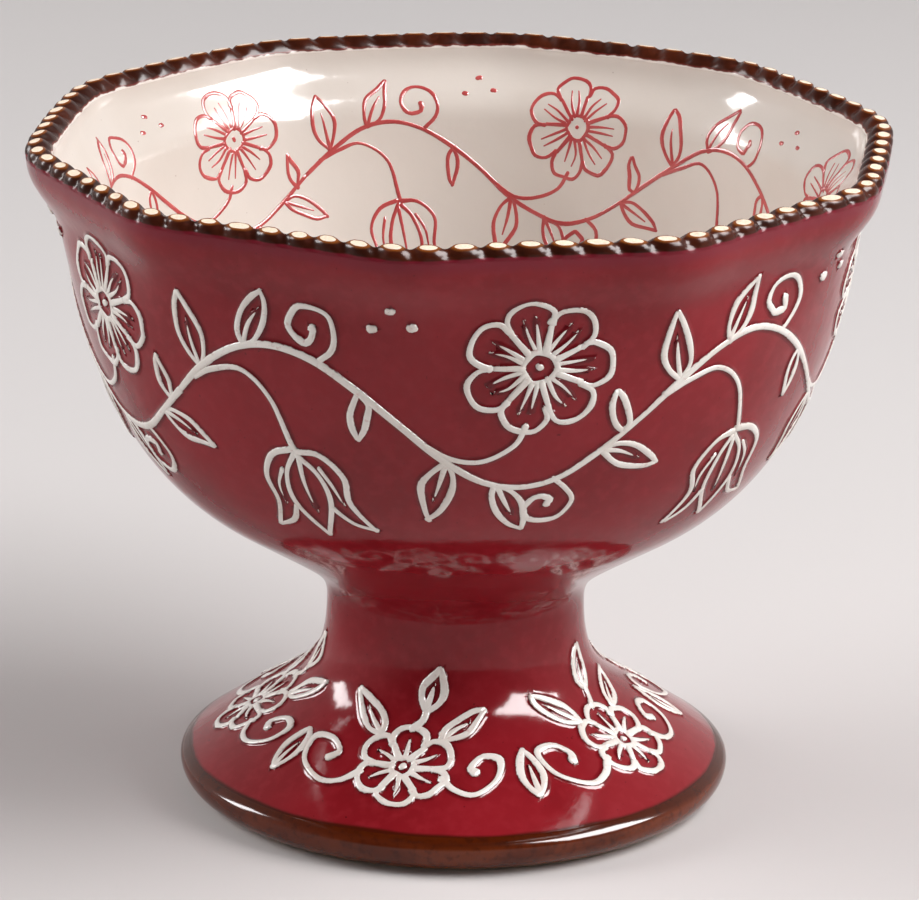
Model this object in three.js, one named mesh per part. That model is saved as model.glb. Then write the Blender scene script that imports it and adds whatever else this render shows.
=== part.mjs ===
// A footed serving bowl of glazed pottery, in millimetres, with +Z up.
// It stands on the plane z = 0, and the origin is the centre of its standing ring.
// Five bodies of clay are stacked on one axis: a rolled foot edge, a hollow flared pedestal,
// the layer of slip that bonds the bowl to it, the bowl, and a rope of clay round the lip.

import * as THREE from "three";

// Heights, each measured from the flat face below it
const footEdgeHeight = 6.8;
const pedestalHeight = 26.3;
const slipThickness = 0.8;
const bowlHeight = 78.5;
const ropeHeight = 2.3;

// The rolled foot edge: its flat standing ring and its widest place
const standingInnerRadius = 37.5;
const standingOuterRadius = 40.2;
const footEdgeRadius = 46.85;
const footEdgeWidestHeight = 4.75;

// The pedestal flares from the neck down to the foot edge
const pedestalBaseRadius = 45.2;
const neckRadius = 21.8;
const pedestalWall = 4.8;
const pedestalSlope = 35;

// The bowl: the straight stretch of its underside, the steep wall and the turned-out lip
const undersideRadius = 40.8;
const undersideHeight = 16.2;
const undersideSlope = 32;
const wallRadius = 66.5;
const wallHeight = 66.1;
const wallSlope = 81.4;
const lipRadius = 71.5;
const lipWidth = 4.2;
const bowlWall = 4.8;
const floorThickness = 9;

// The lip is pinched into soft lobes, which fade out down the wall
const lobeCount = 10;
const lobeDepth = 1;
const lobeCornerShare = 0.15;
const lobeFadeHeight = 22;
const firstLobeAngle = 10.6;

// The rope on the lip: oblique strands with a groove between each two
const strandCount = 83;
const strandGroove = 0.95;
const strandTwist = 0.33;
const grooveSharpness = 4;

// How far each curve keeps the direction of its two ends, as a share of its chord
const neckPull = [0.22, 0.7];
const bellyPull = [0.27, 0.5];
const lipPull = [0.38, 0.4];
const floorPull = [0.4, 0.4];
const pedestalPull = [0.59, 0.45];
const footEdgePull = [0.45, 0.35];

// How finely the round shapes are cut into flat faces
const stepsPerLobe = 8;
const stepsPerStrand = 4;
const ropeSectionSteps = 4;
const longCurveSteps = 6;
const shortCurveSteps = 4;
const turnSteps = lobeCount * stepsPerLobe;

// Places that follow from the sizes above
const slipBottom = footEdgeHeight + pedestalHeight;
const bowlBottom = slipBottom + slipThickness;
const ropeSeat = bowlBottom + bowlHeight;

// Directions in the half plane of a profile, in degrees
const outward = 0;
const up = 90;
const inward = 180;

// A direction in the half plane of a profile, as a unit vector (radius, height)
function direction(degrees) {
  const angle = THREE.MathUtils.degToRad(degrees);
  return new THREE.Vector2(Math.cos(angle), Math.sin(angle));
}

// The point that lies one wall thickness inside a point of an outer profile
function insideOf(point, degrees, thickness) {
  return point.clone().addScaledVector(direction(degrees + up), thickness);
}

// Points along a smooth curve with a given direction at each end, without its first point
function bend(from, fromDegrees, to, toDegrees, pull, steps) {
  const chord = from.distanceTo(to);
  const leaving = from.clone().addScaledVector(direction(fromDegrees), pull[0] * chord);
  const arriving = to.clone().addScaledVector(direction(toDegrees), -pull[1] * chord);
  return new THREE.CubicBezierCurve(from, leaving, arriving, to).getPoints(steps).slice(1);
}

// How far the lip stands out at an angle round the axis: the corners are a little sharper
// than the hollows between them
function lobeShift(angle) {
  const phase = lobeCount * (angle - THREE.MathUtils.degToRad(firstLobeAngle));
  return lobeDepth * (Math.cos(phase) + lobeCornerShare * Math.cos(2 * phase));
}

// A piece turned round the Z axis from its profile of (radius, height) points
function turned(profile) {
  return new THREE.LatheGeometry(profile, turnSteps).rotateX(Math.PI / 2);
}

// Moves the top of a turned piece in and out with the lobes of the lip
function pinchLip(geometry) {
  const position = geometry.getAttribute("position");
  for (let i = 0; i < position.count; i++) {
    const x = position.getX(i);
    const y = position.getY(i);
    const radius = Math.hypot(x, y);
    const share = THREE.MathUtils.smoothstep(position.getZ(i), ropeSeat - lobeFadeHeight, ropeSeat);
    if (radius > 0) {
      const factor = 1 + (share * lobeShift(Math.atan2(y, x))) / radius;
      position.setXY(i, x * factor, y * factor);
    }
  }
  return geometry;
}

// The rolled foot edge: flat below to stand on, flat above to carry the pedestal
function footEdgeGeometry() {
  const standing = new THREE.Vector2(standingOuterRadius, 0);
  const widest = new THREE.Vector2(footEdgeRadius, footEdgeWidestHeight);
  const top = new THREE.Vector2(pedestalBaseRadius, footEdgeHeight);
  const topInner = new THREE.Vector2(pedestalBaseInnerRadius(), footEdgeHeight);
  const standingInner = new THREE.Vector2(standingInnerRadius, 0);
  return turned([
    standingInner,
    standing,
    ...bend(standing, outward, widest, up, footEdgePull, shortCurveSteps),
    ...bend(widest, up, top, inward - pedestalSlope, footEdgePull, shortCurveSteps),
    topInner,
    standingInner,
  ]);
}

// Where the pedestal's hollow begins: the wall is cut level, so it is wider there
function pedestalBaseInnerRadius() {
  return pedestalBaseRadius - pedestalWall / Math.sin(THREE.MathUtils.degToRad(pedestalSlope));
}

// The hollow pedestal, open at its foot and at its neck
function pedestalGeometry() {
  const base = new THREE.Vector2(pedestalBaseRadius, footEdgeHeight);
  const neck = new THREE.Vector2(neckRadius, slipBottom);
  const neckInner = new THREE.Vector2(neckRadius - pedestalWall, slipBottom);
  const baseInner = new THREE.Vector2(pedestalBaseInnerRadius(), footEdgeHeight);
  const upTheFlare = inward - pedestalSlope;
  const downTheFlare = -pedestalSlope;
  return turned([
    base,
    ...bend(base, upTheFlare, neck, up, pedestalPull, longCurveSteps),
    neckInner,
    ...bend(neckInner, -up, baseInner, downTheFlare, [...pedestalPull].reverse(), longCurveSteps),
    base,
  ]);
}

// The layer of slip between pedestal and bowl, as wide as the pedestal's neck
function slipGeometry() {
  const inner = neckRadius - pedestalWall;
  return turned([
    new THREE.Vector2(inner, slipBottom),
    new THREE.Vector2(neckRadius, slipBottom),
    new THREE.Vector2(neckRadius, bowlBottom),
    new THREE.Vector2(inner, bowlBottom),
    new THREE.Vector2(inner, slipBottom),
  ]);
}

// The bowl: out along the underside, up the wall to the flat lip, and back down inside
function bowlGeometry() {
  const neck = new THREE.Vector2(neckRadius, bowlBottom);
  const underside = new THREE.Vector2(undersideRadius, bowlBottom + undersideHeight);
  const wall = new THREE.Vector2(wallRadius, bowlBottom + wallHeight);
  const lip = new THREE.Vector2(lipRadius, ropeSeat);
  const lipInner = new THREE.Vector2(lipRadius - lipWidth, ropeSeat);
  const wallInner = insideOf(wall, wallSlope, bowlWall);
  const undersideInner = insideOf(underside, undersideSlope, bowlWall);
  const floorCentre = new THREE.Vector2(0, bowlBottom + floorThickness);
  const downTheWall = wallSlope - inward;
  const downTheBelly = undersideSlope - inward;
  const lipInside = bend(lipInner, -up, wallInner, downTheWall, [...lipPull].reverse(), shortCurveSteps);
  const bellyInside = bend(
    wallInner,
    downTheWall,
    undersideInner,
    downTheBelly,
    [...bellyPull].reverse(),
    longCurveSteps,
  );
  return pinchLip(
    turned([
      new THREE.Vector2(0, bowlBottom),
      neck,
      ...bend(neck, up, underside, undersideSlope, neckPull, longCurveSteps),
      ...bend(underside, undersideSlope, wall, wallSlope, bellyPull, longCurveSteps),
      ...bend(wall, wallSlope, lip, up, lipPull, shortCurveSteps),
      lipInner,
      ...lipInside,
      ...bellyInside,
      ...bend(undersideInner, downTheBelly, floorCentre, inward, floorPull, shortCurveSteps),
    ]),
  );
}

// The rope: a half-round section on the flat lip, drawn in at the groove between two strands
function ropeGeometry() {
  const middleRadius = lipRadius - lipWidth / 2;
  const steps = strandCount * stepsPerStrand;
  const sectionPoints = ropeSectionSteps + 1;
  const positions = [];
  const indices = [];
  for (let step = 0; step < steps; step++) {
    const angle = (2 * Math.PI * step) / steps;
    for (let k = 0; k < sectionPoints; k++) {
      const across = (Math.PI * k) / ropeSectionSteps;
      const strandPhase = step / stepsPerStrand + (strandTwist * k) / ropeSectionSteps;
      const groove = strandGroove * Math.cos(Math.PI * strandPhase) ** grooveSharpness;
      const radius = middleRadius + (lipWidth / 2) * Math.cos(across) + lobeShift(angle);
      const rise = k === ropeSectionSteps ? 0 : (ropeHeight - groove) * Math.sin(across);
      positions.push(radius * Math.cos(angle), radius * Math.sin(angle), ropeSeat + rise);
      const next = (step + 1) % steps;
      const beside = (k + 1) % sectionPoints;
      const here = step * sectionPoints;
      const there = next * sectionPoints;
      indices.push(here + k, there + k, there + beside);
      indices.push(here + k, there + beside, here + beside);
    }
  }
  const geometry = new THREE.BufferGeometry();
  geometry.setAttribute("position", new THREE.Float32BufferAttribute(positions, 3));
  geometry.setIndex(indices);
  geometry.computeVertexNormals();
  return geometry;
}

function piece(name, geometry, color, roughness) {
  const material = new THREE.MeshStandardMaterial({ color, roughness, metalness: 0 });
  const mesh = new THREE.Mesh(geometry, material);
  mesh.name = name;
  return mesh;
}

const footedBowl = new THREE.Group();
footedBowl.name = "footed_bowl";
footedBowl.add(
  piece("foot_edge", footEdgeGeometry(), 0x54200f, 0.18),
  piece("pedestal", pedestalGeometry(), 0x7c1f28, 0.15),
  piece("joint_slip", slipGeometry(), 0xd8cdbb, 0.8),
  piece("bowl", bowlGeometry(), 0x722a30, 0.15),
  piece("rim_rope", ropeGeometry(), 0x4a2014, 0.2),
);

export default footedBowl;
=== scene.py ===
# %% [markdown]
# # A footed bowl of glazed pottery
# A round serving bowl stands on a hollow flared foot. Its lip is pinched into ten soft lobes and
# carries a rope of clay. Outside it is dipped in a wine-red glaze over raised white line
# decoration, inside it is ivory with thin red lines, and the rope and the foot edge are brown.
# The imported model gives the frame: every piece here is made in its place, in metres.

# %% The frame
import math
import random
from bisect import bisect_right

import bmesh
import bpy
from mathutils import Matrix, Vector, geometry


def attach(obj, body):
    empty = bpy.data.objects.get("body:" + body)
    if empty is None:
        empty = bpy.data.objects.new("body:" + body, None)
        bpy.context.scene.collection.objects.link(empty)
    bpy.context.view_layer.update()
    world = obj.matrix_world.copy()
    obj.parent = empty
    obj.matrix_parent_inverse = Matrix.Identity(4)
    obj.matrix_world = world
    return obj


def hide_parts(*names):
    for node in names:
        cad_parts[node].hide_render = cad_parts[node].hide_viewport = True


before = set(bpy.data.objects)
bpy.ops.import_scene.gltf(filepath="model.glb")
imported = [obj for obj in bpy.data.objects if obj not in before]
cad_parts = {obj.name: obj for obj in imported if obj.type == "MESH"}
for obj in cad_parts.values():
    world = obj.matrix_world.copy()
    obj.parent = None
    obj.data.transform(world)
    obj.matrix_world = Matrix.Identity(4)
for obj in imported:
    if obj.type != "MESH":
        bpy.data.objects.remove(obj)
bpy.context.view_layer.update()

# %% [markdown]
# ## Sizes
# The profile of the bowl was fitted to the photograph, so its numbers are repeated here in
# millimetres, as they stand in the part's source. Working in millimetres keeps them readable,
# and each mesh is brought to metres when it is finished.

# %% The sizes of the body
MM = 0.001
STANDING_INNER, STANDING_OUTER = 37.5, 40.2
FOOT_EDGE_RADIUS, FOOT_EDGE_WIDEST = 46.85, 4.75
FOOT_EDGE_TOP = 6.8
FLARE_RADIUS, FLARE_SLOPE = 45.2, 35
NECK_RADIUS = 21.8
SLIP_BOTTOM, SKINS_MEET, BOWL_BOTTOM = 33.1, 33.5, 33.9
WALL = 4.8
UNDERSIDE, UNDERSIDE_SLOPE = Vector((40.8, 50.1)), 32
STEEP_WALL, STEEP_SLOPE = Vector((66.5, 100.0)), 81.4
ROPE_SEAT = 112.4
LIP_RADIUS, LIP_WIDTH = 71.5, 4.2
FLOOR_TOP = 42.9
LOBES, LOBE_DEPTH, LOBE_CORNERS = 10, 1.0, 0.15
LOBE_FADE, FIRST_LOBE = 22.0, math.radians(10.6)
LOBE_UNEVEN, DEEPEST_LOBE, LIP_OFF_CENTRE = 0.39, math.radians(-84), 0.3
NECK_PULL, BELLY_PULL, LIP_PULL = (0.22, 0.7), (0.27, 0.5), (0.38, 0.4)
FLOOR_PULL, FLARE_PULL, EDGE_PULL = (0.4, 0.4), (0.59, 0.45), (0.45, 0.35)
print("rope seat at", ROPE_SEAT, "mm")

# %% [markdown]
# ## Profiles
# A potter's profile is a chain of smooth bends. Each bend leaves one point in a known direction
# and arrives at the next in another, which is what a cubic Bezier with two handles does. A chain
# of bends is easier to fit and to change than a long list of points.

# %% Bends
def direction(degrees):
    angle = math.radians(degrees)
    return Vector((math.cos(angle), math.sin(angle)))


def bend(start, start_degrees, end, end_degrees, pull, steps):
    """Points of a smooth bend, without its first point."""
    chord = (end - start).length
    leaving = start + direction(start_degrees) * pull[0] * chord
    arriving = end - direction(end_degrees) * pull[1] * chord
    return list(geometry.interpolate_bezier(start, leaving, arriving, end, steps + 1))[1:]


def chain(*points):
    """One list from points and lists of points."""
    flat = []
    for point in points:
        flat.extend(point if isinstance(point, list) else [Vector(point)])
    return flat


# %% The outer profiles, from below upwards
NECK_SKIN = 0.1
NECK = Vector((NECK_RADIUS + NECK_SKIN, SKINS_MEET))
LIP = Vector((LIP_RADIUS, ROPE_SEAT))
FLARE = Vector((FLARE_RADIUS, FOOT_EDGE_TOP))
bowl_outside = chain(
    NECK,
    bend(NECK, 90, UNDERSIDE, UNDERSIDE_SLOPE, NECK_PULL, 22),
    bend(UNDERSIDE, UNDERSIDE_SLOPE, STEEP_WALL, STEEP_SLOPE, BELLY_PULL, 40),
    bend(STEEP_WALL, STEEP_SLOPE, LIP, 90, LIP_PULL, 14),
)
flare_outside = chain(FLARE, bend(FLARE, 180 - FLARE_SLOPE, NECK, 90, FLARE_PULL, 40))
print("outer profiles have", len(bowl_outside), "and", len(flare_outside), "points")

# %% The inner profiles
LIP_INNER = Vector((LIP_RADIUS - LIP_WIDTH, ROPE_SEAT))
STEEP_INNER = STEEP_WALL + direction(STEEP_SLOPE + 90) * WALL
UNDERSIDE_INNER = UNDERSIDE + direction(UNDERSIDE_SLOPE + 90) * WALL
FLOOR_CENTRE = Vector((0, FLOOR_TOP))
bowl_inside = chain(
    LIP_INNER,
    bend(LIP_INNER, -90, STEEP_INNER, STEEP_SLOPE - 180, LIP_PULL[::-1], 14),
    bend(STEEP_INNER, STEEP_SLOPE - 180, UNDERSIDE_INNER, UNDERSIDE_SLOPE - 180, BELLY_PULL[::-1], 34),
    bend(UNDERSIDE_INNER, UNDERSIDE_SLOPE - 180, FLOOR_CENTRE, 180, FLOOR_PULL, 20),
)
FLARE_INNER = Vector((FLARE_RADIUS - WALL / math.sin(math.radians(FLARE_SLOPE)), FOOT_EDGE_TOP))
BORE_TOP = Vector((NECK_RADIUS - WALL, SLIP_BOTTOM))
foot_inside = chain(BORE_TOP, bend(BORE_TOP, -90, FLARE_INNER, -FLARE_SLOPE, FLARE_PULL[::-1], 30))
print("inner profiles have", len(bowl_inside), "and", len(foot_inside), "points")


# %% [markdown]
# ## The lobes of the lip
# The lip is pinched in and out ten times while the clay is soft, so the lobes fade down the wall.
# A shift of each vertex away from the axis, growing towards the lip, gives just that, and every
# piece near the lip can share it. Pinching by hand isn't even: in the photograph the lobes are
# deepest in front and shallow behind, so the depth changes slowly round the lip. The lip is also
# off the axis by 0.3 mm, further out at its right and as much further in at its left.

# %% Lobes
def lobe_shift(angle, height):
    """How far out the lobed lip stands at an angle and a height, in millimetres."""
    rise = min(max((height - ROPE_SEAT + LOBE_FADE) / LOBE_FADE, 0), 1)
    phase = LOBES * (angle - FIRST_LOBE)
    depth = LOBE_DEPTH * (1 + LOBE_UNEVEN * math.cos(angle - DEEPEST_LOBE))
    shift = depth * (math.cos(phase) + LOBE_CORNERS * math.cos(2 * phase)) + LIP_OFF_CENTRE * math.cos(angle)
    return rise * rise * (3 - 2 * rise) * shift


def set_on_axis(vertex, radius, height, angle):
    """Puts a vertex at its radius, height and angle, lobes added, and turns millimetres to metres."""
    radius += lobe_shift(angle, height) if radius > 1 else 0
    vertex.co = (radius * math.cos(angle) * MM, radius * math.sin(angle) * MM, height * MM)


print("lobes reach", round(lobe_shift(FIRST_LOBE, ROPE_SEAT), 2), "mm out")

# %% [markdown]
# ## Turning a piece
# Thrown pottery is a profile turned round an axis, which bmesh's spin operator does. Each step of
# a spin walks over the whole mesh, so a fine turn is slow. Here one sector is spun, and a second
# spin copies that sector round. The seams and the points on the axis fall together, so doubles
# are merged, and then the normals are made to point outwards, because a spin can turn them.

# %% Spin
SECTORS, SAME_PLACE = 16, 0.001


def turned(profile, steps=320):
    """A closed piece turned from a closed profile of (radius, height), all in millimetres."""
    bm = bmesh.new()
    verts = [bm.verts.new((point.x, 0, point.y)) for point in profile]
    edges = [bm.edges.new((verts[i - 1], verts[i])) for i in range(1, len(verts))]
    if profile[0].x > 0:
        edges.append(bm.edges.new((verts[-1], verts[0])))
    sector = math.tau / SECTORS
    spin = dict(axis=(0, 0, 1), cent=(0, 0, 0), dvec=(0, 0, 0), use_merge=False, use_normal_flip=False)
    bmesh.ops.spin(bm, geom=verts + edges, angle=sector, steps=steps // SECTORS, use_duplicate=False, **spin)
    whole = bm.verts[:] + bm.edges[:] + bm.faces[:]
    bmesh.ops.spin(bm, geom=whole, angle=math.tau - sector, steps=SECTORS - 1, use_duplicate=True, **spin)
    bmesh.ops.remove_doubles(bm, verts=bm.verts, dist=SAME_PLACE)
    bmesh.ops.recalc_face_normals(bm, faces=bm.faces)
    return bm


def lobed(bm):
    """Gives a turned piece the lobes of the lip, and brings it to metres."""
    for vertex in bm.verts:
        x, y, z = vertex.co
        set_on_axis(vertex, math.hypot(x, y), z, math.atan2(y, x))
    return bm


def finish_piece(name, bm, material, replaced=(), crease=50):
    """Makes an object of a bmesh, tells the frame about it, and prints its size."""
    mesh = bpy.data.meshes.new(name)
    bm.to_mesh(mesh)
    bm.free()
    mesh.shade_smooth()
    mesh.set_sharp_from_angle(angle=math.radians(crease))
    mesh.materials.append(material)
    piece = bpy.data.objects.new(name, mesh)
    bpy.context.scene.collection.objects.link(piece)
    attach(piece, "root")
    if replaced:
        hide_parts(*replaced)
    triangles = sum(len(face.vertices) - 2 for face in mesh.polygons)
    print(name, "has", triangles, "triangles")
    return piece


print("helpers ready")

# %% [markdown]
# ## Glazes
# Every finish here is a glaze or bare clay, so all of them are built from the same few moves:
# soft clouds of noise in object space for mottling, a threshold on fine noise for specks, and
# height for the places where one glaze meets another. Object coordinates stay put when the
# camera moves. A few small helpers keep each recipe readable.

# %% Helpers for shader nodes
def paint(code):
    """A linear colour from the six-digit code that a paint program shows."""
    parts = [int(code[i:i + 2], 16) / 255 for i in (0, 2, 4)]
    linear = [part / 12.92 if part < 0.04 else ((part + 0.055) / 1.055) ** 2.4 for part in parts]
    return (*linear, 1.0)


def add_node(tree, kind, inputs, **settings):
    """A new node. An input is a plain value or another node's output."""
    node = tree.nodes.new("ShaderNode" + kind)
    for key, value in settings.items():
        setattr(node, key, value)
    for key, value in inputs.items():
        if isinstance(value, bpy.types.NodeSocket):
            tree.links.new(value, node.inputs[key])
        else:
            node.inputs[key].default_value = value
    return node


def blended(tree, factor, low, high):
    """Colour low where the factor is 0, and high where it is 1."""
    return add_node(tree, "Mix", {0: factor, 6: low, 7: high}, data_type="RGBA").outputs[2]


def ranged(tree, value, start, end, low=0.0, high=1.0):
    """A value read smoothly from one range into another, kept inside it."""
    return add_node(
        tree, "MapRange", {0: value, 1: start, 2: end, 3: low, 4: high}, interpolation_type="SMOOTHSTEP",
    ).outputs[0]


def sum_of(tree, first, second, operation="ADD"):
    return add_node(tree, "Math", {0: first, 1: second}, operation=operation).outputs[0]


def mottled(tree, noise, start, end, low, high):
    """Two colours, given by their codes, that change where the noise runs from start to end."""
    return blended(tree, ranged(tree, noise, start, end), paint(low), paint(high))


def tinted(tree, colour, share, code):
    """A colour that gives way to another, given by its code, as the share grows."""
    return blended(tree, share, colour, paint(code))


def clouds(tree, place, size, detail):
    """Soft noise with features of about size millimetres."""
    noise = {"Vector": place, "Scale": 1 / (size * MM), "Detail": detail}
    return add_node(tree, "TexNoise", noise).outputs["Fac"]


def wavered(tree, value, noise, amount):
    """A value moved to and fro by noise, by up to about amount either way."""
    return sum_of(tree, value, ranged(tree, noise, 0.25, 0.75, -amount, amount))


def start_material(name, roughness, gloss=0.5):
    """A material with its shader, its object coordinates and its height in millimetres."""
    material = bpy.data.materials.new(name)
    material.use_nodes = True
    tree = material.node_tree
    shader = tree.nodes["Principled BSDF"]
    shader.inputs["Roughness"].default_value = roughness
    shader.inputs["IOR"].default_value = 1.5
    shader.inputs["Specular IOR Level"].default_value = gloss
    place = add_node(tree, "TexCoord", {}).outputs["Object"]
    z = add_node(tree, "SeparateXYZ", {0: place}).outputs["Z"]
    height = sum_of(tree, z, 1 / MM, "MULTIPLY")
    return material, tree, shader, place, height


def attribute(tree, name):
    return add_node(tree, "Attribute", {}, attribute_name=name, attribute_type="GEOMETRY").outputs["Fac"]


def rough_surface(tree, shader, height, depth):
    """Bump from a height value between 0 and 1, as deep as depth millimetres."""
    bump = add_node(tree, "Bump", {"Height": height, "Strength": 1.0, "Distance": depth * MM})
    tree.links.new(bump.outputs["Normal"], shader.inputs["Normal"])


print("shader helpers ready")

# %% [markdown]
# ### Wine-red glaze
# The outside is a deep wine red, a little cloudy, with dark specks and pinholes. Beside the raised
# lines it is painted darker: partly the glaze pools thick there, partly it is painted shade at the
# lines' step. The surface is a clear gloss over softly uneven clay, so the bump is wide and shallow.
# Just under the rope the red turns a little purple, and at the foot edge it ends in a thin dark
# line. Both changes are read from the height.

# %% Wine-red glaze
PURPLE_ZONE, RED_HEM = (109.6, 111.9), (6.85, 7.3)


def wine_glaze(name, pooled_and_shaded=False):
    """Pooled glaze reads the across attribute: 0 beside a raised line, 1 where it fades out. Its darker red
    is partly thicker glaze and partly painted shade at the step.
    """
    material, tree, shader, place, height = start_material(name, 0.11, gloss=0.27)
    wide = clouds(tree, place, 22, 3)
    fine = clouds(tree, place, 2.2, 3)
    colour = mottled(tree, wide, 0.35, 0.65, "7a151c", "851a22")
    colour = tinted(tree, colour, ranged(tree, fine, 0.42, 0.72, 0.0, 0.45), "8d232b")
    speck = clouds(tree, place, 0.75, 1)
    colour = tinted(tree, colour, ranged(tree, speck, 0.76, 0.80, 0.0, 0.6), "3a080b")
    rim = wavered(tree, height, fine, 0.25)
    colour = tinted(tree, colour, ranged(tree, rim, *PURPLE_ZONE, 0.0, 0.65), "701c2c")
    hem = wavered(tree, height, wide, 0.2)
    colour = tinted(tree, colour, ranged(tree, hem, *RED_HEM, 1.0, 0.0), "3e1206")
    # Beside the raised lines the red is painted darker: partly glaze pooled thick, partly painted shade at
    # the step.
    if pooled_and_shaded:
        away = wavered(tree, attribute(tree, "across"), fine, 0.2)
        colour = tinted(tree, colour, ranged(tree, away, 0.05, 0.9, 0.65, 0.0), "4a0a10")
    tree.links.new(colour, shader.inputs["Base Color"])
    rough_surface(tree, shader, sum_of(tree, wide, sum_of(tree, fine, 0.10, "MULTIPLY")), 0.35)
    return material


wine = wine_glaze("wine glaze")
pooled_and_shaded_wine = wine_glaze("pooled wine glaze", pooled_and_shaded=True)
print("made", wine.name, "and", pooled_and_shaded_wine.name)

# %% [markdown]
# ### Ivory glaze
# The inside is a glossy ivory with faint warm clouds and a few tiny iron specks.

# %% Ivory glaze
def ivory_glaze(name):
    material, tree, shader, place, _ = start_material(name, 0.12)
    wide = clouds(tree, place, 26, 3)
    fine = clouds(tree, place, 2.0, 3)
    colour = mottled(tree, wide, 0.35, 0.7, "d6ccc4", "d0c5bc")
    speck = clouds(tree, place, 0.9, 1)
    colour = tinted(tree, colour, ranged(tree, speck, 0.80, 0.83, 0.0, 0.5), "8c6a5c")
    tree.links.new(colour, shader.inputs["Base Color"])
    rough_surface(tree, shader, sum_of(tree, wide, sum_of(tree, fine, 0.08, "MULTIPLY")), 0.3)
    return material


ivory = ivory_glaze("ivory glaze")
print("made", ivory.name)

# %% [markdown]
# ### Brown glaze
# The rope and the foot edge are dipped in a dark brown glaze that turns amber where it is thin.
# The crowns of the rope and the ring that touches the kiln shelf are wiped bare, so the material
# can change into pale clay, either by the bare attribute of the mesh or by height. The red glaze
# laps a little way up the outer side of the rope, and the ivory glaze up its inner side, each
# with a wavy edge.

# %% Brown glaze
PAINTED_DARK_TOP, AMBER_RING, BARE_RING, RED_LAP = (5.3, 6.4), (0.7, 1.9), (0.45, 0.65), (112.7, 113.0)


def brown_glaze(name, bare_by_attribute):
    """The rope's glaze, bare by attribute and softer in gloss, or the foot edge's, bare by height."""
    glazed, gloss = (0.24, 0.15) if bare_by_attribute else (0.12, 0.32)
    material, tree, shader, place, height = start_material(name, 0.12, gloss)
    wide = clouds(tree, place, 14, 2)
    fine = clouds(tree, place, 1.4, 3)
    grain = clouds(tree, place, 0.35, 2)
    if bare_by_attribute:
        colour = mottled(tree, wide, 0.38, 0.68, "301209", "471c0d")
        bare = wavered(tree, attribute(tree, "bare"), fine, 0.12)
        amber = ranged(tree, bare, -0.9, 0.2, 0.0, 0.95)
        bare = ranged(tree, bare, 0.4, 0.55)
    else:
        colour = mottled(tree, wide, 0.38, 0.68, "501d09", "662a10")
        # The upper face of the roll is painted darker: a painted reflection of the dim room above and in
        # front.
        top = ranged(tree, wavered(tree, height, wide, 0.4), *PAINTED_DARK_TOP)
        colour = tinted(tree, colour, top, "461804")
        edge = wavered(tree, height, fine, 0.15)
        amber = ranged(tree, edge, *AMBER_RING, 0.7, 0.0)
        bare = ranged(tree, edge, *BARE_RING, 1.0, 0.0)
    colour = tinted(tree, colour, ranged(tree, fine, 0.45, 0.75, 0.0, 0.5), "260d06")
    colour = tinted(tree, colour, amber, "8a4a1c")
    clay = mottled(tree, grain, 0.3, 0.7, "f1e0cd", "e8d2b8")
    colour = blended(tree, bare, colour, clay)
    if bare_by_attribute:
        hem = wavered(tree, height, wide, 0.15)
        colour = tinted(tree, colour, ranged(tree, hem, *RED_LAP, 1.0, 0.0), "6e1a26")
        lap = wavered(tree, attribute(tree, "ivory"), clouds(tree, place, 2.6, 2), 0.22)
        colour = tinted(tree, colour, ranged(tree, lap, 0.1, 0.5), "6b3027")
        colour = tinted(tree, colour, ranged(tree, lap, 0.45, 0.65), "e6dcd5")
    tree.links.new(colour, shader.inputs["Base Color"])
    tree.links.new(ranged(tree, bare, 0.0, 1.0, glazed, 0.8), shader.inputs["Roughness"])
    rough_surface(tree, shader, sum_of(tree, sum_of(tree, grain, bare, "MULTIPLY"), wide), 0.12)
    return material


print("ready to mix brown glaze")


# %% Bare clay
def bare_clay(name):
    """Unglazed fired slip: pale, dry and sandy."""
    material, tree, shader, place, _ = start_material(name, 0.85)
    grain = clouds(tree, place, 0.4, 4)
    wide = clouds(tree, place, 6, 2)
    colour = mottled(tree, wide, 0.35, 0.65, "d8c4a6", "c9b08d")
    colour = tinted(tree, colour, ranged(tree, grain, 0.55, 0.8, 0.0, 0.5), "a98c68")
    tree.links.new(colour, shader.inputs["Base Color"])
    rough_surface(tree, shader, grain, 0.05)
    return material


rope_brown = brown_glaze("brown glaze with bare crowns", bare_by_attribute=True)
edge_brown = brown_glaze("brown glaze of the foot edge", bare_by_attribute=False)
dry_slip = bare_clay("dry slip")
print("made", rope_brown.name, edge_brown.name, dry_slip.name)

# %% [markdown]
# ### Line finishes
# The raised lines were trailed on in white slip, and the red glaze was wiped from their tops. It
# stays on their flanks, so the white gives way to wine red by the across attribute with a wavy
# edge. The lines inside are red under the clear glaze, thinner in colour at their rims.

# %% White and red lines
def white_line(name):
    material, tree, shader, place, _ = start_material(name, 0.2)
    wide = clouds(tree, place, 9, 2)
    fine = clouds(tree, place, 0.8, 3)
    colour = mottled(tree, wide, 0.35, 0.7, "e9e4de", "ded6ce")
    colour = tinted(tree, colour, ranged(tree, fine, 0.58, 0.76, 0.0, 0.5), "c9a29c")
    side = wavered(tree, attribute(tree, "across"), fine, 0.08)
    colour = tinted(tree, colour, ranged(tree, side, 0.82, 1.0), "64121a")
    tree.links.new(colour, shader.inputs["Base Color"])
    rough_surface(tree, shader, fine, 0.05)
    return material


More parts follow.
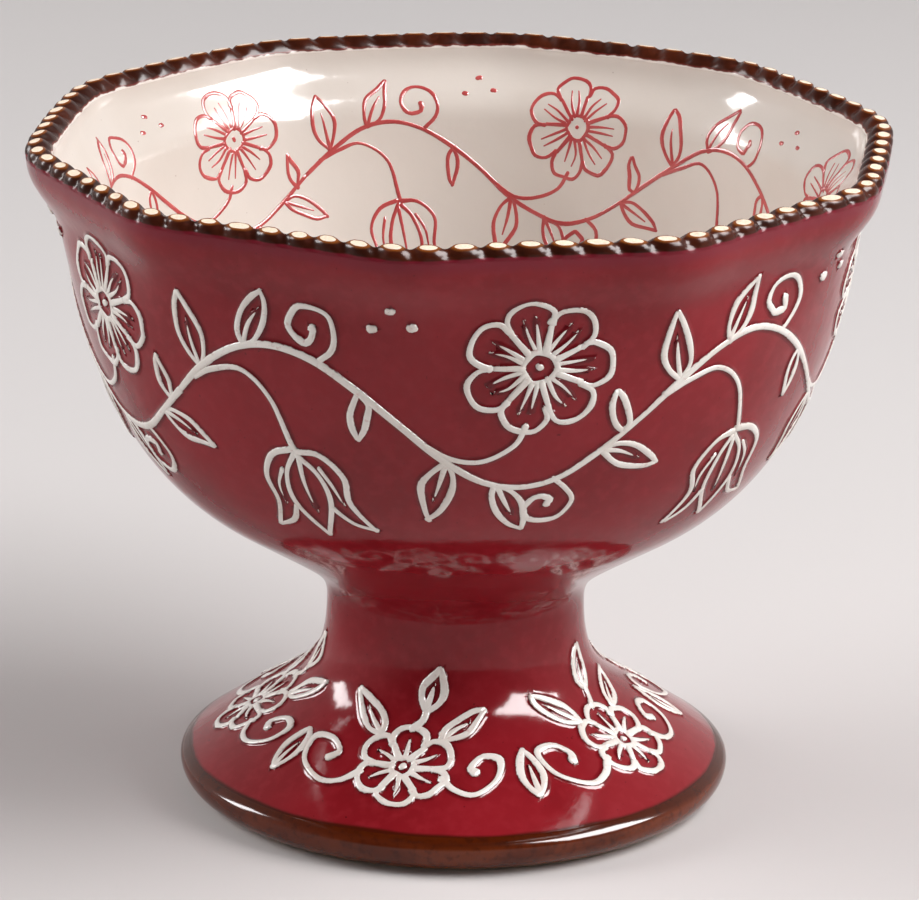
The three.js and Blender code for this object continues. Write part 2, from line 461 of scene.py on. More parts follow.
def red_line(name):
    material, tree, shader, place, _ = start_material(name, 0.12)
    fine = clouds(tree, place, 0.9, 3)
    wide = clouds(tree, place, 7, 2)
    colour = mottled(tree, wide, 0.35, 0.7, "ab3f40", "be5553")
    colour = tinted(tree, colour, ranged(tree, fine, 0.5, 0.8, 0.0, 0.5), "963034")
    side = wavered(tree, attribute(tree, "across"), fine, 0.15)
    colour = tinted(tree, colour, ranged(tree, side, 0.70, 1.0, 0.0, 0.8), "e0b6b0")
    tree.links.new(colour, shader.inputs["Base Color"])
    rough_surface(tree, shader, fine, 0.03)
    return material


white = white_line("white slip line")
red = red_line("red underglaze line")
print("made", white.name, "and", red.name)

# %% [markdown]
# ## The bodies
# The bowl and the foot are thrown forms: each is one closed profile turned round the axis. At the
# neck the glaze runs unbroken over the joint, so the skins of both pieces reach a little past
# their own clay and meet over the ring of slip between them.

# %% The bowl's body
SLIP_GAP = 0.02
bowl_profile = chain(
    (0, BOWL_BOTTOM), (NECK_RADIUS - SLIP_GAP, BOWL_BOTTOM), (NECK_RADIUS - SLIP_GAP, SKINS_MEET),
    bowl_outside, bowl_inside,
)
finish_piece("bowl_body", lobed(turned(bowl_profile)), wine, ["bowl"])

# %% The foot's body
foot_profile = chain(
    flare_outside, (NECK_RADIUS + SLIP_GAP, SKINS_MEET), (NECK_RADIUS + SLIP_GAP, SLIP_BOTTOM),
    foot_inside,
)
finish_piece("foot_body", lobed(turned(foot_profile)), wine, ["pedestal"])

# %% [markdown]
# ### The linings
# The ivory inside is a coat of glaze over the clay. A coat of its own, a quarter of a millimetre
# thick, keeps the two colours apart with a clean edge in the mesh, where a mask by height would
# also colour the outside. The coat's profile is the inner profile and the same one moved off the
# clay along its normals.

# %% Profiles moved off the clay
def moved_off(profile, distance):
    """A profile moved off itself to its right-hand side, seen along its run."""
    moved = []
    for i, point in enumerate(profile):
        along = profile[min(i + 1, len(profile) - 1)] - profile[max(i - 1, 0)]
        along.normalize()
        shifted = point + Vector((along.y, -along.x)) * distance
        shifted.x = 0 if point.x == 0 else shifted.x
        moved.append(shifted)
    return moved


COAT, SUNK = 0.28, -0.02
bowl_coat = moved_off(bowl_inside, COAT)
finish_piece(
    "bowl_lining", lobed(turned(bowl_coat[::-1] + moved_off(bowl_inside, SUNK))), ivory,
)

# %% The lining of the foot, down to the foot edge's inner face
HEM = Vector((37.03, 4.8))
foot_hollow = chain((0, BOWL_BOTTOM), (BORE_TOP.x, BOWL_BOTTOM), foot_inside, HEM)
finish_piece(
    "foot_lining", lobed(turned(moved_off(foot_hollow, COAT) + moved_off(foot_hollow, SUNK)[::-1], 160)),
    ivory,
)

# %% [markdown]
# ## The foot edge
# The foot ends in a rolled edge: flat below, widest near its top, and drawn in to the flare. Its
# profile is two bends between flat faces. The flat ring it stands on is wiped bare.

# %% The foot edge
WIDEST = Vector((FOOT_EDGE_RADIUS, FOOT_EDGE_WIDEST))
foot_edge_profile = chain(
    (STANDING_INNER, 0), (STANDING_OUTER, 0),
    bend(Vector((STANDING_OUTER, 0)), 0, WIDEST, 90, EDGE_PULL, 16),
    bend(WIDEST, 90, FLARE, 180 - FLARE_SLOPE, EDGE_PULL, 10),
    (FLARE_INNER.x, FOOT_EDGE_TOP),
)
finish_piece(
    "rolled_foot_edge", lobed(turned(foot_edge_profile)), edge_brown, ["foot_edge"],
)

# %% [markdown]
# ## Measuring a profile
# The rope and the raised lines both lie along a profile, so they need to know where a distance
# along it is. A profile is measured once into a table of distance, point and outward direction,
# and a place on it is read between the rows.

# %% Measured profiles
def measured(profile, side):
    """(distances, points, outward directions, side) of a profile. Side 1 is its right-hand side."""
    distances, outwards = [0.0], []
    for i, point in enumerate(profile):
        if i:
            distances.append(distances[-1] + (point - profile[i - 1]).length)
        along = (profile[min(i + 1, len(profile) - 1)] - profile[max(i - 1, 0)]).normalized()
        outwards.append(Vector((along.y, -along.x)) * side)
    return distances, profile, outwards, side


def place_on(surface, distance):
    """The point at a distance along a measured profile, and the direction away from the clay."""
    distances, points, outwards, _ = surface
    i = min(max(bisect_right(distances, distance) - 1, 0), len(points) - 2)
    share = (distance - distances[i]) / (distances[i + 1] - distances[i])
    return points[i].lerp(points[i + 1], share), outwards[i].lerp(outwards[i + 1], share)


def distance_at(surface, height):
    """How far along a profile that runs upwards a height is reached."""
    distances, points, _, _ = surface
    return next(distance for distance, point in zip(distances, points) if point.y >= height)


print("ready to measure profiles")

# %% [markdown]
# ## The rope edge
# A rope of clay lies on the lip: 83 strands slant across a roll that leans outwards. The roll
# could be modelled strand by strand, but the strands are one piece of clay, so a half circle is
# spun with sixteen steps for each strand. Each vertex then moves to its place on the leaning
# section and is drawn in by the groove it is near. The crowns were wiped flat, so what stands
# above a tilted plane is pressed onto it, and how much was pressed away is kept in the bare
# attribute for the material. The ivory attribute says where the inner glaze laps up the rope.

# %% The section of the rope, from its outer to its inner foot
ROPE_MIDDLE, ROPE_HALF = LIP_RADIUS - LIP_WIDTH / 2, LIP_WIDTH / 2
OUTER_SEAT, CREST = Vector((ROPE_HALF, 0)), Vector((0.45, 2.6))
INNER_SEAT = Vector((-ROPE_HALF - 0.3, 0))
rope_section = measured(
    chain(
        OUTER_SEAT,
        bend(OUTER_SEAT, 68, CREST, 180, (0.45, 0.3), 14),
        bend(CREST, 180, INNER_SEAT, 262, (0.28, 0.35), 16),
    ),
    1,
)
rope_section_length = rope_section[0][-1]
print("the rope is", round(rope_section_length, 2), "mm round its section")

# %% Strands that differ a little
STRANDS, STEPS_PER_STRAND, STRAND_TWIST = 83, 16, 0.33
GROOVE_DEPTH, GROOVE_SHARPNESS = 0.8, 1.7
WIPE_TILT, WIPE_POINT = math.radians(10), Vector((0.55, 2.12))
GROOVE_AT_SEAT, GROOVE_RISE = 0.15, 2.6
GROOVE_END, GROOVE_FADE = 0.97, 0.38
WIPE_SOFTNESS, BROWN_END = 0.35, 0.4
chance = random.Random(83)
strands = [
    (chance.uniform(-0.05, 0.05), chance.uniform(0.85, 1.12), chance.uniform(-0.05, 0.05))
    for _ in range(STRANDS)
]
print("strands are", round(2 * math.pi * ROPE_MIDDLE / STRANDS, 2), "mm apart")


# %% The surface of the rope
def rope_surface(angle, share):
    """Radius, height, bareness and ivory share of the rope at an angle and a share of its width."""
    place = STRANDS * angle / math.tau + STRAND_TWIST * share
    shift, deep, _ = strands[round(place) % STRANDS]
    _, _, high = strands[math.floor(place) % STRANDS]
    near_groove = 0.5 + 0.5 * math.cos(math.tau * (place - round(place) + shift))
    outer_rise, inner_rise = GROOVE_RISE * math.sin(math.pi * share), (GROOVE_END - share) / GROOVE_FADE
    rise = min(outer_rise if share < 0.5 else inner_rise, 1)
    rise = GROOVE_AT_SEAT + (1 - GROOVE_AT_SEAT) * rise * rise * (3 - 2 * rise)
    groove = GROOVE_DEPTH * deep * near_groove ** GROOVE_SHARPNESS * rise
    spot, outwards = place_on(rope_section, rope_section_length * share)
    spot = spot - outwards * groove
    wiped = WIPE_POINT.y + high - math.tan(WIPE_TILT) * (spot.x - WIPE_POINT.x)
    bare = min(max((spot.y - wiped) / WIPE_SOFTNESS, -1), 1)
    ivory_share = 0 if share < 0.5 else min(max(0.5 - (spot.y - BROWN_END), 0), 1)
    return ROPE_MIDDLE + spot.x, ROPE_SEAT + min(spot.y, wiped), bare, ivory_share


# %% The rope
SECTION_STEPS, ROPE_SUNK = 22, 0.2
half_circle = [
    Vector((ROPE_MIDDLE, ROPE_SEAT)) + direction(180 * k / SECTION_STEPS) * ROPE_HALF
    for k in range(SECTION_STEPS + 1)
]
rope_bottom = ROPE_SEAT - ROPE_SUNK
rope_profile = chain(
    (ROPE_MIDDLE + ROPE_HALF, rope_bottom), half_circle, (ROPE_MIDDLE - ROPE_HALF, rope_bottom),
)
rope = turned(rope_profile, STRANDS * STEPS_PER_STRAND)
bareness = rope.verts.layers.float.new("bare")
ivoriness = rope.verts.layers.float.new("ivory")
for vertex in rope.verts:
    radius, height = math.hypot(vertex.co.x, vertex.co.y), vertex.co.z
    angle, bare, inner = math.atan2(vertex.co.y, vertex.co.x), -1, 0
    if height > ROPE_SEAT - ROPE_SUNK / 2:
        across = math.atan2(max(height - ROPE_SEAT, 0), radius - ROPE_MIDDLE)
        radius, height, bare, inner = rope_surface(angle, across / math.pi)
    vertex[bareness], vertex[ivoriness] = bare, inner
    set_on_axis(vertex, radius, height, angle)
finish_piece("rope_edge", rope, rope_brown, ["rim_rope"], crease=75)

# %% [markdown]
# ## The slip joint
# The ring of slip between foot and bowl is hidden by the glaze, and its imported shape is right, so
# it stays as it is and only gets a dry clay finish.

# %% The slip joint
slip_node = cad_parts["joint_slip"]
slip_node.data.materials.clear()
slip_node.data.materials.append(dry_slip)

# %% [markdown]
# ## Drawing the decoration
# The lines are trailed by hand with a nozzle, so they are strokes: a path with a width that
# changes a little. Each motif is a short list of strokes, given by a few points (x, y, width) in
# millimetres on flat paper, with x to the right and y up. A smooth curve is laid through the
# points, and a seeded wobble keeps two flowers from looking stamped.

# %% Smooth strokes
def smooth_stroke(points, closed, step):
    """A Catmull-Rom curve through the points, with a new point about every step millimetres."""
    count = len(points)
    result = []
    for i in range(count if closed else count - 1):
        if closed:
            a, b, c, d = (points[(i + k - 1) % count] for k in range(4))
        else:
            b, c = points[i], points[i + 1]
            a = points[i - 1] if i else tuple(2 * p - q for p, q in zip(b, c))
            d = points[i + 2] if i + 2 < count else tuple(2 * q - p for p, q in zip(b, c))
        parts = max(2, math.ceil(math.dist(b[:2], c[:2]) / step))
        for k in range(parts):
            t = k / parts
            result.append(tuple(
                0.5 * (2 * q + (r - p) * t + (2 * p - 5 * q + 4 * r - s) * t * t
                       + (3 * q - 3 * r + s - p) * t ** 3)
                for p, q, r, s in zip(a, b, c, d)
            ))
    return result if closed else result + [points[-1]]


def by_hand(strokes, hand, wobble):
    """The same strokes as a hand would repeat them."""
    def moved(x, y, w):
        return x + hand.gauss(0, wobble), y + hand.gauss(0, wobble), w * hand.uniform(0.88, 1.14)

    return [([moved(*point) for point in points], closed) for points, closed in strokes]


def placed(strokes, x=0.0, y=0.0, turn=0.0, flip=1, size=1.0):
    """Strokes resized, mirrored where flip is -1, turned by some degrees and moved."""
    c, s = size * math.cos(math.radians(turn)), size * math.sin(math.radians(turn))
    return [
        ([(x + c * flip * px - s * py, y + s * flip * px + c * py, w) for px, py, w in points], closed)
        for points, closed in strokes
    ]


print("3 points make", len(smooth_stroke([(0, 0, 1), (5, 3, 1), (10, 0, 1)], False, 0.8)), "when smoothed")


# %% Flowers
def dot(size):
    return [([(-0.3 * size, 0, size), (0, 0, 1.1 * size), (0.3 * size, 0, size)], False)]


def around(reach, degrees, width):
    """A point of a stroke at a distance and direction from the middle of a flower."""
    return reach * math.cos(math.radians(degrees)), reach * math.sin(math.radians(degrees)), width


def daisy(radius, petals=7, core=2.6, veined=True):
    """Round petals that share their sides, each with two veins, about a ring with a dot."""
    pitch = 360 / petals
    strokes = [([around(core, 36 * k, 1.0) for k in range(10)], True)] + dot(1.0)
    edge = (
        (-0.5, 0.66, 1.15), (-0.43, 0.86, 1.0), (-0.22, 0.99, 1.1), (0, 1.02, 1.05),
        (0.22, 0.99, 1.1), (0.43, 0.86, 1.0), (0.5, 0.66, 1.15),
    )
    for k in range(petals):
        middle = pitch * k
        shared = middle - pitch / 2
        strokes.append(([around(core, shared, 1.25), around(0.66 * radius, shared, 1.0)], False))
        strokes.append(([around(reach * radius, middle + at * pitch, w) for at, reach, w in edge], False))
        for side in (-0.15, 0.15) if veined else (0,):
            strokes.append(([
                around(core, middle + side * pitch, 0.95),
                around(0.5 * radius, middle + 1.1 * side * pitch, 0.7),
                around(0.76 * radius, middle + 0.8 * side * pitch, 0.4),
            ], False))
    return strokes


def tulip(height):
    """A cup of three petals that stands on its stem's end."""
    strokes = [([(0, 0.08, 1.0), (0, 0.4, 0.8), (0, 0.74, 0.4)], False)]
    for side in (-1, 1):
        strokes += [
            ([(0, 0, 1.4), (0.24 * side, 0.06, 1.15), (0.41 * side, 0.30, 1.0), (0.38 * side, 0.62, 1.0),
              (0.5 * side, 0.98, 0.95)], False),
            ([(0.5 * side, 0.98, 0.95), (0.31 * side, 0.88, 1.05), (0.18 * side, 0.66, 1.0)], False),
            ([(0, 0.04, 1.2), (0.15 * side, 0.28, 0.95), (0.19 * side, 0.62, 1.05), (0, 1.08, 1.0)], False),
            ([(0.2 * side, 0.2, 0.8), (0.28 * side, 0.42, 0.7), (0.29 * side, 0.66, 0.4)], False),
        ]
    return [([(x * height, y * height, w) for x, y, w in points], closed) for points, closed in strokes]


print("a daisy has", len(daisy(12)), "strokes and a tulip", len(tulip(18)))


# %% Leaves, curls and crooks
def leaf(length, fat=0.34):
    """A pointed leaf with a vein, lying along x. A slim one closes to a slit in thick slip."""
    strokes = [([(0, 0, 1.1), (0.35, 0.01, 0.8), (0.66, 0, 0.4)], False)] if fat > 0.3 else []
    for side in (-fat, fat):
        strokes.append(([
            (0, 0, 1.1), (0.2, 0.42 * side, 1.0), (0.48, 0.54 * side, 1.15),
            (0.8, 0.3 * side, 1.1), (1, 0, 0.9),
        ], False))
    return [([(x * length, y * length, w) for x, y, w in points], closed) for points, closed in strokes]


def curl(radius, turns=1.25):
    """A tendril that leaves upwards and rolls up to the right, with a thick end."""
    points = []
    count = int(turns * 9) + 2
    for k in range(count + 1):
        t = k / count
        reach = radius * (1 - 0.82 * t ** 0.9)
        angle = math.pi - math.tau * turns * t
        points.append((radius + reach * math.cos(angle), reach * math.sin(angle), 1.05 + 0.35 * t * t))
    return [(points, False)]


def crook(run, drop, lift):
    """A stem that leaves along 42 degrees, arches over and comes down to its flower."""
    points = ((0, 0, 1.25), (0.25 * run, 0.62 * lift, 1.0), (0.58 * run, lift, 0.95),
              (0.88 * run, 0.45 * lift - 0.25 * drop, 1.0), (run, -drop, 1.15))
    return [(points, False)]


def daisy_stem():
    """The short stem that comes up to a daisy from below."""
    return [([(0, 0, 1.2), (4.5, -2.6, 1.0), (9.5, -3.0, 0.95), (14.4, -0.4, 1.0), (16.6, 3.4, 1.15)], False)]


print("a curl has", len(curl(5)[0][0]), "points")

# %% [markdown]
# ## From flat strokes to raised lines
# A trailed line has a flat top and round flanks. A curve object can sweep such a section along
# every stroke, with the radius of each point as the line's width. The sweep stays level because
# its twist follows Z. Drawing on flat paper first and wrapping the mesh afterwards keeps the
# section upright on a surface that bends both ways, which a curve in space wouldn't do.

# %% Sections, as (x, height, across)
WHITE_SECTION = (
    (-0.62, -0.3, 1), (-0.6, 0.1, 1), (-0.5, 0.3, 0.85), (-0.3, 0.4, 0.5), (0, 0.43, 0),
    (0.3, 0.4, 0.5), (0.5, 0.3, 0.85), (0.6, 0.1, 1), (0.62, -0.3, 1),
)
POOL_SECTION = (
    (-0.5, -0.3, 0), (-1.5, -0.05, 1), (-1.2, 0.004, 0.85), (-0.95, 0.03, 0.55), (-0.75, 0.09, 0.3),
    (-0.6, 0.18, 0.1), (-0.5, 0.25, 0), (0.5, 0.25, 0), (0.6, 0.18, 0.1), (0.75, 0.09, 0.3),
    (0.95, 0.03, 0.55), (1.2, 0.004, 0.85), (1.5, -0.05, 1), (0.5, -0.3, 0),
)
RED_SECTION = (
    (-0.46, -0.15, 1), (-0.42, 0.02, 1), (-0.26, 0.09, 0.5), (0, 0.11, 0),
    (0.26, 0.09, 0.5), (0.42, 0.02, 1), (0.46, -0.15, 1),
)
print("sections have", len(WHITE_SECTION), len(POOL_SECTION), "and", len(RED_SECTION), "points")


# %% Ends of a stroke
ROUNDING, ROUND_FROM, THINNEST = (0.4, 0.75, 0.93, 1.0), 0.35, 0.002


def with_ends(points, half_width, past):
    """Runs a stroke on past its ends, and rounds them by shrinking the sweep."""
    for _ in range(2):
        points = points[::-1]
        (x, y, w), (px, py, _) = points[-1], points[-2]
        length = max(math.hypot(x - px, y - py), 1e-6)
        dx, dy = (x - px) / length, (y - py) / length
        reach = half_width * w
        for share in ROUNDING:
            out = past + reach * (share - ROUND_FROM)
            thin = max(w * math.sqrt(1 - share * share), THINNEST)
            points = points + [(x + dx * out, y + dy * out, thin)]
    return points


# %% The sweep
def swept(strokes, section):
    """A mesh of the section swept along flat strokes, in millimetres."""
    outline = bpy.data.curves.new("section", "CURVE")
    outline.dimensions = "2D"
    corners = outline.splines.new("POLY")
    corners.points.add(len(section) - 1)
    for knot, (x, height, _) in zip(corners.points, section):
        knot.co = (x, height, 0, 1)
    corners.use_cyclic_u = True
    path = bpy.data.curves.new("strokes", "CURVE")
    path.dimensions, path.twist_mode, path.bevel_mode = "3D", "Z_UP", "OBJECT"
    for points, closed in strokes:
        line = path.splines.new("POLY")
        line.points.add(len(points) - 1)
        for knot, (x, y, width) in zip(line.points, points):
            knot.co, knot.radius = (x, y, 0, 1), width
        line.use_cyclic_u = closed
    holders = [bpy.data.objects.new(data.name, data) for data in (outline, path)]
    for holder in holders:
        bpy.context.scene.collection.objects.link(holder)
    path.bevel_object = holders[0]
    bpy.context.view_layer.update()
    depsgraph = bpy.context.evaluated_depsgraph_get()
    mesh = bpy.data.meshes.new_from_object(holders[1].evaluated_get(depsgraph), depsgraph=depsgraph)
    for data in (path, outline):
        bpy.data.curves.remove(data)
    return mesh


# %% Surfaces to draw on
bowl_skin = measured(bowl_outside, 1)
flare_skin = measured(flare_outside, 1)
bowl_inner_skin = measured(bowl_coat[::-1], -1)
print("the bowl's profile is", round(bowl_skin[0][-1], 1), "mm long")
print("the flare's is", round(flare_skin[0][-1], 1), "mm long")


# %% Wrapping
HIGHEST_LINE = 0.5


def lay_on(bm, first, surface, angle, distance, level=None):
    """Wraps the vertices from number first on about a place on the surface. Without a level
    radius each height is wrapped by its own radius, so a motif keeps its shape there."""
    side = surface[3]
    bm.verts.ensure_lookup_table()
    for vertex in bm.verts[first:]:
        x, y, z = vertex.co
        point, outwards = place_on(surface, distance + y)
        raised = z / (1 + max(z / HIGHEST_LINE, 0) ** 4) ** 0.25
        spot = point + outwards * raised
        set_on_axis(vertex, spot.x, spot.y, angle + side * x / (level or point.x))


print("no line stands out more than", HIGHEST_LINE, "mm")

# %% Raised lines
LINE_STEP, POOL_STEP, POOL_PAST, MERGE_WITHIN = 0.8, 1.1, -0.45, 0.008


def pool_width(width):
    """Pooled glaze follows the width of its line, but keeps more of its own where that thins."""
    return (0.55 * width + 0.75) / 1.3


def raised_lines(name, sheets, section, half_width, weight, material, pool=False):
    """One piece from sheets: each is (strokes, surface, angle, distance, level radius)."""
    bm = bmesh.new()
    across = bm.verts.layers.float.new("across")
    for strokes, surface, angle, distance, level in sheets:
        drawn = []
        for points, closed in strokes:
            points = smooth_stroke(points, closed, POOL_STEP if pool else LINE_STEP)
            points = [(x, y, w * weight) for x, y, w in points]
            if pool:
                points = [(x, y, pool_width(w)) for x, y, w in points]
            if not closed:
                points = with_ends(points, half_width, POOL_PAST if pool else 0.0)
            drawn.append((points, closed))
        mesh = swept(drawn, section)
        first = len(bm.verts)
        bm.from_mesh(mesh)
        bpy.data.meshes.remove(mesh)
        bm.verts.ensure_lookup_table()
        for i, vertex in enumerate(bm.verts[first:]):
            vertex[across] = section[i % len(section)][2]
        lay_on(bm, first, surface, angle, distance, level)
    bmesh.ops.remove_doubles(bm, verts=bm.verts, dist=MERGE_WITHIN * MM)
    finish_piece(name, bm, material, crease=80)


print("ready to trail lines")

# %% [markdown]
# ## The vine round the bowl
# A plain folk vine in white line runs round the bowl: a wave of five swings, with a daisy in the
# bays that open to the rim, a tulip hanging in those that open downwards, and leaves, curls and
# dots between them. A motif is wrapped by its own radius, so it keeps its shape on the round
# bowl. The long vine is wrapped by one radius, so that it stays where the motifs join it.

# %% A vine of motifs
DRAWN_SWING = 79
WIDE_LEAVES = (
    (0.075, 62, 13), (0.185, 46, 11.5), (0.595, -64, 13), (0.70, -48, 11.5), (0.925, -62, 11),
)
SLIM_LEAVES = ((0.43, -56, 8.5), (0.965, 62, 8.0))


def vine(put, hand, swings, swing, rise):
    """Lays one vine with its flowers by calls of put(strokes, x, y). Returns the vine's strokes."""
    def height_at(x):
        return rise * math.sin(math.tau * x / swing)

    def slope_at(x):
        return math.degrees(math.atan(rise * math.tau / swing * math.cos(math.tau * x / swing)))

    size = swing / DRAWN_SWING
    wobble = 0.2 * size
    for k in range(swings):
        def at(share):
            return (k + share) * swing

        def on_vine(share, strokes, turn=0.0, flip=1, along=True):
            x = at(share)
            turn += slope_at(x) if along else 0
            drawn = placed(strokes, turn=turn, flip=flip, size=size)
            put(by_hand(drawn, hand, wobble), x, height_at(x))

        flower = placed(daisy(11.4), turn=11 * k, size=size)
        put(by_hand(flower, hand, wobble), at(0.775), 10.5 * size)
        cup = placed(tulip(17.5), turn=187, size=size)
        put(by_hand(cup, hand, wobble), at(0.27), -7.0 * size)
        drop = height_at(at(0.045)) / size + 7.0
        on_vine(0.045, crook(0.225 * DRAWN_SWING, drop, 3.4), along=False)
        on_vine(0.545, daisy_stem(), along=False)
        for share, turn, length in WIDE_LEAVES:
            on_vine(share, leaf(length), turn)
        for share, turn, length in SLIM_LEAVES:
            on_vine(share, leaf(length, 0.26), turn)
        on_vine(0.345, curl(6.0), -45, flip=-1)
        on_vine(0.825, curl(5.6), -128)
        for share, height in ((0.46, 17.0), (0.495, 20.5), (0.535, 17.5)):
            put(by_hand(dot(1.45 * size), hand, 0.1), at(share), height * size)
    knots = [swing * k / 12 for k in range(swings * 12 + 1)]
    return by_hand([([(x, height_at(x), 1.2) for x in knots], False)], hand, 0.1)


# %% The strokes round the bowl
VINE_HEIGHT, SWINGS, SWING_RISE, FRONT = 83.0, 5, 12.0, math.radians(-90)
LEAD_IN = 0.62
hand = random.Random(20)
vine_distance = distance_at(bowl_skin, VINE_HEIGHT)
vine_radius = place_on(bowl_skin, vine_distance)[0].x
swing = math.tau * vine_radius / SWINGS
VINE_START = FRONT - LEAD_IN * swing / vine_radius
bowl_sheets = []


def on_bowl(strokes, x, y):
    bowl_sheets.append((strokes, bowl_skin, VINE_START + x / vine_radius, vine_distance + y, None))


bowl_vine = vine(on_bowl, hand, SWINGS, swing, SWING_RISE)
bowl_sheets.append((bowl_vine, bowl_skin, VINE_START, vine_distance, vine_radius))
print(len(bowl_sheets), "sheets round the bowl, a swing is", round(swing, 1), "mm")

# %% Raised lines of the bowl
WHITE_HALF, POOL_HALF, BOWL_WEIGHT = 0.6, 1.0, 0.88
raised_lines("bowl_lines", bowl_sheets, WHITE_SECTION, WHITE_HALF, BOWL_WEIGHT, white)
raised_lines(
    "bowl_line_pools", bowl_sheets, POOL_SECTION, POOL_HALF, BOWL_WEIGHT, pooled_and_shaded_wine,
    pool=True,
)

# %% [markdown]
# ## The sprays on the foot
# The foot carries bolder sprays: five daisies, each between two scrolls and with a bud and two
# leaves above it, and a single leaf between each two sprays. The slip is thicker here, so the
# lines are wider.

# %% The strokes on the foot
SPRAYS, SPRAY_HEIGHT, FOOT_WEIGHT = 5, 9.0, 0.98
SPRAY_TURN, SPRAY_WOBBLE = 0.25, 0.15
spray_distance = distance_at(flare_skin, SPRAY_HEIGHT)


def scroll(size):
    """A stem that swings out and rolls up at its end, to the right."""
    points = ((0, 0, 1.2), (3.2, -2.8, 1.0), (7.2, -3.4, 1.0), (10.6, -0.6, 1.0), (10.2, 3.6, 1.05),
              (6.8, 4.8, 1.1), (4.8, 2.4, 1.15), (6.4, 0.7, 1.3))
    return [([(x * size, y * size, w) for x, y, w in points], False)]


def spray():
    """A daisy with a bud and two leaves above it, between two scrolls."""
    strokes = placed(daisy(7.8, petals=6, core=1.9, veined=False), y=9.2, turn=30)
    strokes += [([(0, 17.0, 1.2), (1.3, 18.8, 1.05), (1.6, 20.6, 1.1)], False)]
    strokes += placed(leaf(7.5, 0.44), x=1.6, y=20.4, turn=76)
    strokes += placed(scroll(1.08), x=-6.8, y=7.4, flip=-1) + placed(scroll(0.9), x=6.8, y=7.4)
    strokes += placed(leaf(9.2, 0.36), x=-5.0, y=15.2, turn=130)
    strokes += placed(leaf(8.4, 0.36), x=5.2, y=15.0, turn=44)
    return strokes


print("a spray has", len(spray()), "strokes")

# %% Raised lines of the foot
foot_sheets = []
for k in range(SPRAYS):
    angle = FRONT - SPRAY_TURN + math.tau * k / SPRAYS
    foot_sheets.append((by_hand(spray(), hand, SPRAY_WOBBLE), flare_skin, angle, spray_distance, None))
    between = by_hand(placed(leaf(9.5, 0.36), y=3.0, turn=90), hand, SPRAY_WOBBLE)
    foot_sheets.append((between, flare_skin, angle + math.pi / SPRAYS, spray_distance, None))
raised_lines("foot_lines", foot_sheets, WHITE_SECTION, WHITE_HALF, FOOT_WEIGHT, white)
raised_lines(
    "foot_line_pools", foot_sheets, POOL_SECTION, POOL_HALF, FOOT_WEIGHT, pooled_and_shaded_wine,
    pool=True,
)

# %% [markdown]
# ## The red vine inside
# Inside, the same vine runs round the upper wall in thin red lines under the clear glaze. They
# hardly stand out, so their section is low and narrow. Seen from inside, x runs the other way
# round.

# %% The strokes inside
INNER_HEIGHT, INNER_SWINGS, INNER_RISE, BACK = 90.5, 6, 8.6, math.radians(90)
INNER_LEAD_IN, RED_HALF, RED_WEIGHT = 0.45, 0.45, 0.8
inner_distance = distance_at(bowl_inner_skin, INNER_HEIGHT)
inner_radius = place_on(bowl_inner_skin, inner_distance)[0].x
inner_swing = math.tau * inner_radius / INNER_SWINGS
INNER_START = BACK + INNER_LEAD_IN * inner_swing / inner_radius
inner_sheets = []


def inside(strokes, x, y):
    inner_sheets.append((strokes, bowl_inner_skin, INNER_START - x / inner_radius, inner_distance + y, None))


inner_vine = vine(inside, hand, INNER_SWINGS, inner_swing, INNER_RISE)
inner_sheets.append((inner_vine, bowl_inner_skin, INNER_START, inner_distance, inner_radius))
raised_lines("inner_lines", inner_sheets, RED_SECTION, RED_HALF, RED_WEIGHT, red)

# %% [markdown]
# ## Floor, light and camera
# The bowl stands on a plain pale floor that fills the frame behind it, as a backdrop would, and
# the room past its edge is as pale. The photograph is lit from two sides: from high at the right,
# a little towards the camera, and from lower at the left, a little behind. Shadows in it are soft,
# but glints are small, so each side has a wide lamp that only lights and a smaller one that only
# shows in the glaze. The rest of the room fills the shadows evenly. What the glaze mirrors of it
# is pale at the sides and at the back, and dim overhead and in front, so the near side of the
# bowl stays deep in colour.

# %% The floor
def floor_material():
    material = bpy.data.materials.new("pale floor")
    material.use_nodes = True
    tree = material.node_tree
    shader = tree.nodes["Principled BSDF"]
    shader.inputs["Roughness"].default_value = 0.9
    shader.inputs["Specular IOR Level"].default_value = 0.1
    shader.inputs["Base Color"].default_value = paint("ccc7c6")
    return material


FLOOR_RADIUS = 1.2
bm = bmesh.new()
bmesh.ops.create_circle(bm, cap_ends=True, segments=96, radius=FLOOR_RADIUS)
floor_mesh = bpy.data.meshes.new("floor")
bm.to_mesh(floor_mesh)
bm.free()
floor_mesh.materials.append(floor_material())
floor = bpy.data.objects.new("floor", floor_mesh)
bpy.context.scene.collection.objects.link(floor)
print("floor", [round(value, 2) for value in floor.dimensions])

# %% The room
DIM, PALE, FILL = 0.1, 1.15, 0.21
SIDE_SHARE, BACK_SHARE, TOP_SHARE = 0.8, 0.6, 0.5
world = bpy.data.worlds.new("room")
world.use_nodes = True
bpy.context.scene.world = world
sky = world.node_tree
for node in list(sky.nodes):
    sky.nodes.remove(node)
look = add_node(sky, "SeparateXYZ", {0: add_node(sky, "TexCoord", {}).outputs["Generated"]}).outputs
sideways = sum_of(sky, sum_of(sky, look["X"], 0, "ABSOLUTE"), SIDE_SHARE, "MULTIPLY")
backward = sum_of(sky, look["Y"], BACK_SHARE, "MULTIPLY")
upward = sum_of(sky, look["Z"], TOP_SHARE, "MULTIPLY")
paleness = sum_of(sky, sum_of(sky, sideways, backward), upward, "SUBTRACT")
ray = add_node(sky, "LightPath", {}).outputs
mirrored = ranged(sky, paleness, -0.2, 0.8, DIM, PALE)
seen_strength = sum_of(sky, mirrored, ray["Is Camera Ray"], "MAXIMUM")
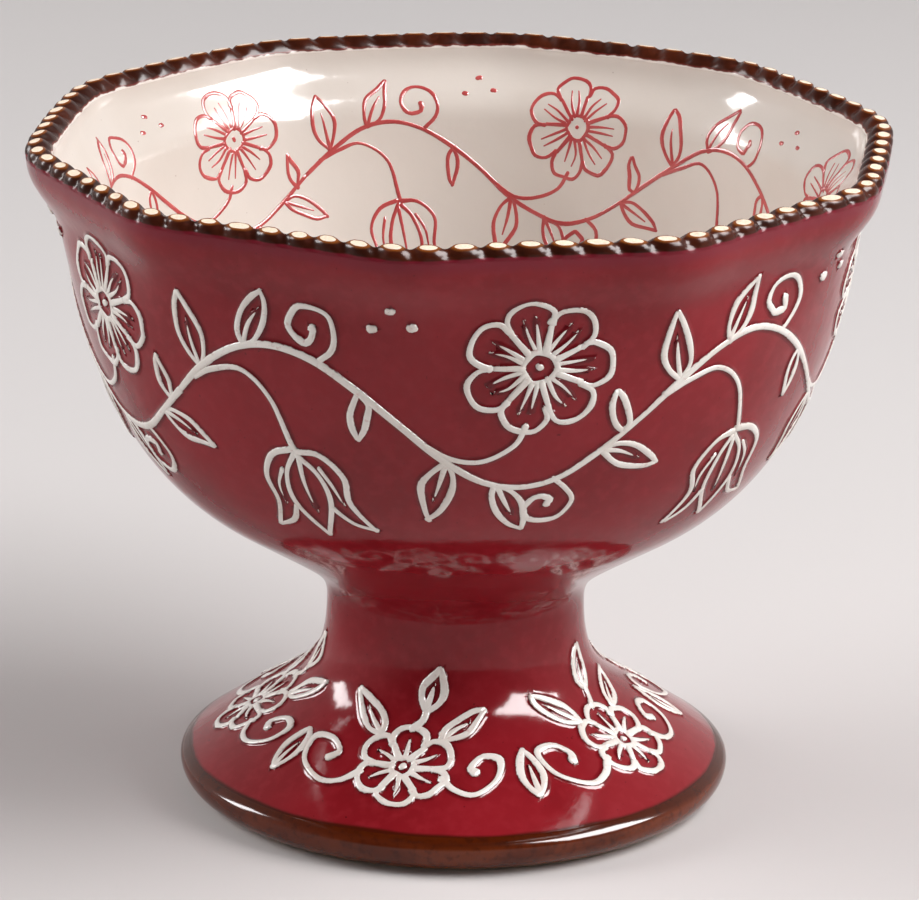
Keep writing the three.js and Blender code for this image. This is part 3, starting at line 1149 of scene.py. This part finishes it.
seen = add_node(sky, "Background", {"Color": paint("c4c0bf"), "Strength": seen_strength})
room_light = add_node(sky, "Background", {"Color": paint("ffffff"), "Strength": FILL})
is_seen = sum_of(sky, ray["Is Camera Ray"], ray["Is Glossy Ray"])
is_seen = sum_of(sky, is_seen, ray["Is Transmission Ray"])
room_mix = add_node(sky, "MixShader", {0: is_seen, 1: room_light.outputs[0], 2: seen.outputs[0]})
add_node(sky, "OutputWorld", {"Surface": room_mix.outputs[0]})
print("the glaze mirrors a room from", DIM, "to", PALE, "and shadows are filled by", FILL)


# %% The soft boxes
LIT = Vector((0, 0, 0.07))


def soft_box(name, turn, rise, away, width, height, power, shine=False):
    """A box seen from the bowl at turn degrees right of the camera and rise degrees up."""
    turn, rise = math.radians(turn), math.radians(rise)
    side = Vector((math.sin(turn) * math.cos(rise), -math.cos(turn) * math.cos(rise), math.sin(rise)))
    light = bpy.data.lights.new(name, "AREA")
    light.shape, light.size, light.size_y, light.energy = "RECTANGLE", width, height, power
    holder = bpy.data.objects.new(name, light)
    holder.location = LIT + side * away
    holder.rotation_euler = side.to_track_quat("Z", "Y").to_euler()
    holder.visible_glossy, holder.visible_diffuse = shine, not shine
    bpy.context.scene.collection.objects.link(holder)
    print(name, "at", [round(value, 2) for value in holder.location], "with", power, "W")


soft_box("right lamp", 77, 42, 1.15, 0.9, 0.8, 18.5)
soft_box("left lamp", -94, 30, 1.3, 0.8, 0.7, 12)
soft_box("right glint", 73, 40, 1.05, 0.8, 0.6, 54, shine=True)
soft_box("left glint", -106, 27, 1.2, 0.26, 0.5, 10.5, shine=True)

# %% [markdown]
# The camera was fitted to the photographed rim and foot: a long lens from just under a metre,
# looking down by 18 degrees, with a small roll.

# %% The camera
CAMERA_PLACE, CAMERA_PITCH, CAMERA_ROLL = (0, -0.875, 0.34213), 17.93, 0.75
LENS, SENSOR, SHIFT = 213.26, 36.0, 0.0023
camera_data = bpy.data.cameras.new("camera")
camera_data.lens, camera_data.sensor_width = LENS, SENSOR
camera_data.shift_x = SHIFT
camera = bpy.data.objects.new("camera", camera_data)
camera.matrix_world = (
    Matrix.Translation(CAMERA_PLACE)
    @ Matrix.Rotation(math.radians(90 - CAMERA_PITCH), 4, "X")
    @ Matrix.Rotation(math.radians(CAMERA_ROLL), 4, "Z")
)
bpy.context.scene.collection.objects.link(camera)
bpy.context.scene.camera = camera
bpy.context.scene.view_settings.view_transform = "Standard"
print("camera at", [round(value, 3) for value in camera.location])
